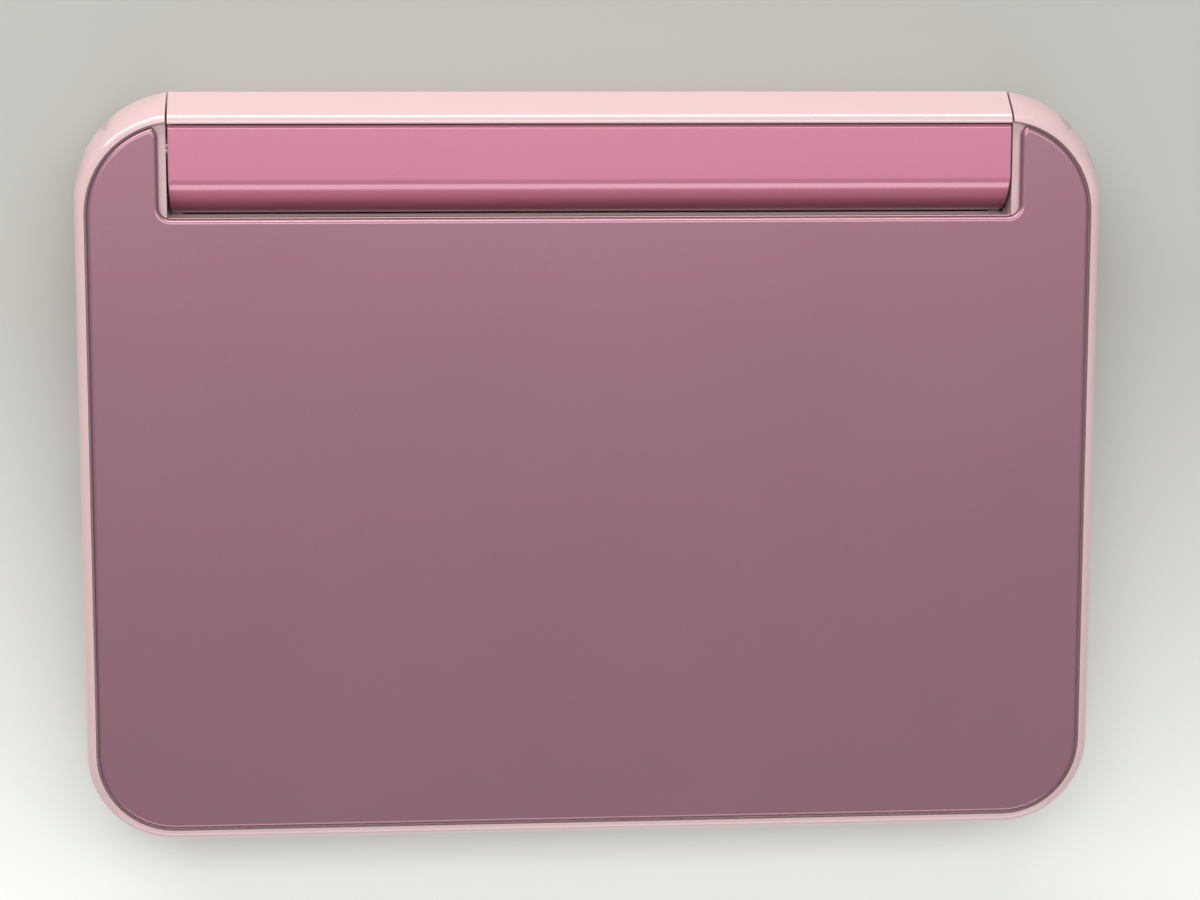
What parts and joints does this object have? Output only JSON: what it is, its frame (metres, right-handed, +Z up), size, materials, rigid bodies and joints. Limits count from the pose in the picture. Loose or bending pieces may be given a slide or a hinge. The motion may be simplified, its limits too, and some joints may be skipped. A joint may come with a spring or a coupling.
{
  "type": "electronic dictionary",
  "caption": "Pocket clamshell electronic dictionary with a touch screen in its hinged lid, a small keyboard, direction pad, side stylus and sockets.",
  "frame": {"origin": "middle of the closed body's outline, on the surface that it stands on", "axes": "+Z up, +Y to the hinge at the rear, +X to the right of someone typing"},
  "size_m": [0.1526, 0.112, 0.0203],
  "materials": {
    "case_pink": "satin moulded plastic",
    "cover_rose": "pearl lacquer on plastic",
    "panel_mauve": "satin pearl lacquer on the inlaid panel",
    "key_white": "matte key plastic",
    "dark_plastic": "matte",
    "steel": "brushed",
    "sheet_rubber": "matte silicone",
    "board_green": "solder mask",
    "battery_foil": "foil",
    "foot_rubber": "matte",
    "cable_amber": "polyimide film",
    "bezel_white": "gloss plastic frame",
    "display_dark": "display module",
    "screen_glass": "touch glass, dark when off"
  },
  "bodies": {
    "base": {"bottom_case": "case_pink", "keyboard_deck": "case_pink", "barrel_front_cover": "cover_rose", "barrel_rear_cover": "case_pink", "hinge_units": "steel", "key_sheet": "sheet_rubber", "main_board": "board_green", "battery_pack": "battery_foil", "battery_door": "case_pink", "speaker": "dark_plastic", "usb_port": "steel", "earphone_jack": "dark_plastic", "card_slot": "steel", "rubber_feet": "foot_rubber", "case_screws": "steel", "display_cable": "cable_amber"},
    "lid": {"hinge_pins": "steel", "lid_shell": "case_pink", "lid_panel": "panel_mauve", "screen_bezel": "bezel_white", "lcd_module": "display_dark", "touch_glass": "screen_glass", "lid_bumpers": "foot_rubber"},
    "stylus_body": {"stylus": "case_pink"},
    "pad_pivot": {"nav_pivot": "dark_plastic"},
    "pad": {"nav_pad": "key_white"},
    "enter": {"key_enter": "cover_rose"},
    "rocker": {"page_rocker": "key_white"},
    "body_key_power": {"key_power": "key_white"},
    "body_key_menu": {"key_menu": "key_white"},
    "body_key_shift": {"key_shift": "key_white"},
    "body_key_delete": {"key_delete": "key_white"},
    "body_key_space": {"key_space": "key_white"},
    "body_key_back": {"key_back": "key_white"},
    "body_key_q": {"key_q": "key_white"},
    "body_key_w": {"key_w": "key_white"},
    "body_key_e": {"key_e": "key_white"},
    "body_key_r": {"key_r": "key_white"},
    "body_key_t": {"key_t": "key_white"},
    "body_key_y": {"key_y": "key_white"},
    "body_key_u": {"key_u": "key_white"},
    "body_key_i": {"key_i": "key_white"},
    "body_key_o": {"key_o": "key_white"},
    "body_key_p": {"key_p": "key_white"},
    "body_key_a": {"key_a": "key_white"},
    "body_key_s": {"key_s": "key_white"},
    "body_key_d": {"key_d": "key_white"},
    "body_key_f": {"key_f": "key_white"},
    "body_key_g": {"key_g": "key_white"},
    "body_key_h": {"key_h": "key_white"},
    "body_key_j": {"key_j": "key_white"},
    "body_key_k": {"key_k": "key_white"},
    "body_key_l": {"key_l": "key_white"},
    "body_key_z": {"key_z": "key_white"},
    "body_key_x": {"key_x": "key_white"},
    "body_key_c": {"key_c": "key_white"},
    "body_key_v": {"key_v": "key_white"},
    "body_key_b": {"key_b": "key_white"},
    "body_key_n": {"key_n": "key_white"},
    "body_key_m": {"key_m": "key_white"}
  },
  "joints": [
    {"name": "display_hinge", "type": "hinge", "parent": "base", "child": "lid", "pos_m": [0, 0.047, 0.0115], "axis": [-1, 0, 0], "range_deg": [0, 155]},
    {"name": "draw_stylus", "type": "slide", "parent": "base", "child": "stylus_body", "axis": [1, 0, 0], "range_m": [0, 0.088]},
    {"name": "direction_pad_pitch", "type": "hinge", "parent": "base", "child": "pad_pivot", "pos_m": [0.03406, -0.033, 0.0087], "axis": [1, 0, 0], "range_deg": [-2, 2], "stiffness_Nm_per_rad": 0.08},
    {"name": "direction_pad_roll", "type": "hinge", "parent": "pad_pivot", "child": "pad", "pos_m": [0.03406, -0.033, 0.0092], "axis": [0, 1, 0], "range_deg": [-2, 2], "stiffness_Nm_per_rad": 0.08},
    {"name": "page_rocker_tilt", "type": "hinge", "parent": "base", "child": "rocker", "pos_m": [-0.04978, -0.033, 0.0087], "axis": [1, 0, 0], "range_deg": [-3, 3], "stiffness_Nm_per_rad": 0.05},
    {"name": "key_enter_press", "type": "slide", "parent": "base", "child": "enter", "axis": [0, 0, -1], "range_m": [0, 0.0007], "stiffness_N_per_m": 400},
    {"name": "key_power_press", "type": "slide", "parent": "base", "child": "body_key_power", "axis": [0, 0, -1], "range_m": [0, 0.0007], "stiffness_N_per_m": 400},
    {"name": "key_menu_press", "type": "slide", "parent": "base", "child": "body_key_menu", "axis": [0, 0, -1], "range_m": [0, 0.0007], "stiffness_N_per_m": 400},
    {"name": "key_shift_press", "type": "slide", "parent": "base", "child": "body_key_shift", "axis": [0, 0, -1], "range_m": [0, 0.0007], "stiffness_N_per_m": 400},
    {"name": "key_delete_press", "type": "slide", "parent": "base", "child": "body_key_delete", "axis": [0, 0, -1], "range_m": [0, 0.0007], "stiffness_N_per_m": 400},
    {"name": "key_space_press", "type": "slide", "parent": "base", "child": "body_key_space", "axis": [0, 0, -1], "range_m": [0, 0.0007], "stiffness_N_per_m": 400},
    {"name": "key_back_press", "type": "slide", "parent": "base", "child": "body_key_back", "axis": [0, 0, -1], "range_m": [0, 0.0007], "stiffness_N_per_m": 400},
    {"name": "key_q_press", "type": "slide", "parent": "base", "child": "body_key_q", "axis": [0, 0, -1], "range_m": [0, 0.0007], "stiffness_N_per_m": 400},
    {"name": "key_w_press", "type": "slide", "parent": "base", "child": "body_key_w", "axis": [0, 0, -1], "range_m": [0, 0.0007], "stiffness_N_per_m": 400},
    {"name": "key_e_press", "type": "slide", "parent": "base", "child": "body_key_e", "axis": [0, 0, -1], "range_m": [0, 0.0007], "stiffness_N_per_m": 400},
    {"name": "key_r_press", "type": "slide", "parent": "base", "child": "body_key_r", "axis": [0, 0, -1], "range_m": [0, 0.0007], "stiffness_N_per_m": 400},
    {"name": "key_t_press", "type": "slide", "parent": "base", "child": "body_key_t", "axis": [0, 0, -1], "range_m": [0, 0.0007], "stiffness_N_per_m": 400},
    {"name": "key_y_press", "type": "slide", "parent": "base", "child": "body_key_y", "axis": [0, 0, -1], "range_m": [0, 0.0007], "stiffness_N_per_m": 400},
    {"name": "key_u_press", "type": "slide", "parent": "base", "child": "body_key_u", "axis": [0, 0, -1], "range_m": [0, 0.0007], "stiffness_N_per_m": 400},
    {"name": "key_i_press", "type": "slide", "parent": "base", "child": "body_key_i", "axis": [0, 0, -1], "range_m": [0, 0.0007], "stiffness_N_per_m": 400},
    {"name": "key_o_press", "type": "slide", "parent": "base", "child": "body_key_o", "axis": [0, 0, -1], "range_m": [0, 0.0007], "stiffness_N_per_m": 400},
    {"name": "key_p_press", "type": "slide", "parent": "base", "child": "body_key_p", "axis": [0, 0, -1], "range_m": [0, 0.0007], "stiffness_N_per_m": 400},
    {"name": "key_a_press", "type": "slide", "parent": "base", "child": "body_key_a", "axis": [0, 0, -1], "range_m": [0, 0.0007], "stiffness_N_per_m": 400},
    {"name": "key_s_press", "type": "slide", "parent": "base", "child": "body_key_s", "axis": [0, 0, -1], "range_m": [0, 0.0007], "stiffness_N_per_m": 400},
    {"name": "key_d_press", "type": "slide", "parent": "base", "child": "body_key_d", "axis": [0, 0, -1], "range_m": [0, 0.0007], "stiffness_N_per_m": 400},
    {"name": "key_f_press", "type": "slide", "parent": "base", "child": "body_key_f", "axis": [0, 0, -1], "range_m": [0, 0.0007], "stiffness_N_per_m": 400},
    {"name": "key_g_press", "type": "slide", "parent": "base", "child": "body_key_g", "axis": [0, 0, -1], "range_m": [0, 0.0007], "stiffness_N_per_m": 400},
    {"name": "key_h_press", "type": "slide", "parent": "base", "child": "body_key_h", "axis": [0, 0, -1], "range_m": [0, 0.0007], "stiffness_N_per_m": 400},
    {"name": "key_j_press", "type": "slide", "parent": "base", "child": "body_key_j", "axis": [0, 0, -1], "range_m": [0, 0.0007], "stiffness_N_per_m": 400},
    {"name": "key_k_press", "type": "slide", "parent": "base", "child": "body_key_k", "axis": [0, 0, -1], "range_m": [0, 0.0007], "stiffness_N_per_m": 400},
    {"name": "key_l_press", "type": "slide", "parent": "base", "child": "body_key_l", "axis": [0, 0, -1], "range_m": [0, 0.0007], "stiffness_N_per_m": 400},
    {"name": "key_z_press", "type": "slide", "parent": "base", "child": "body_key_z", "axis": [0, 0, -1], "range_m": [0, 0.0007], "stiffness_N_per_m": 400},
    {"name": "key_x_press", "type": "slide", "parent": "base", "child": "body_key_x", "axis": [0, 0, -1], "range_m": [0, 0.0007], "stiffness_N_per_m": 400},
    {"name": "key_c_press", "type": "slide", "parent": "base", "child": "body_key_c", "axis": [0, 0, -1], "range_m": [0, 0.0007], "stiffness_N_per_m": 400},
    {"name": "key_v_press", "type": "slide", "parent": "base", "child": "body_key_v", "axis": [0, 0, -1], "range_m": [0, 0.0007], "stiffness_N_per_m": 400},
    {"name": "key_b_press", "type": "slide", "parent": "base", "child": "body_key_b", "axis": [0, 0, -1], "range_m": [0, 0.0007], "stiffness_N_per_m": 400},
    {"name": "key_n_press", "type": "slide", "parent": "base", "child": "body_key_n", "axis": [0, 0, -1], "range_m": [0, 0.0007], "stiffness_N_per_m": 400},
    {"name": "key_m_press", "type": "slide", "parent": "base", "child": "body_key_m", "axis": [0, 0, -1], "range_m": [0, 0.0007], "stiffness_N_per_m": 400}
  ]
}
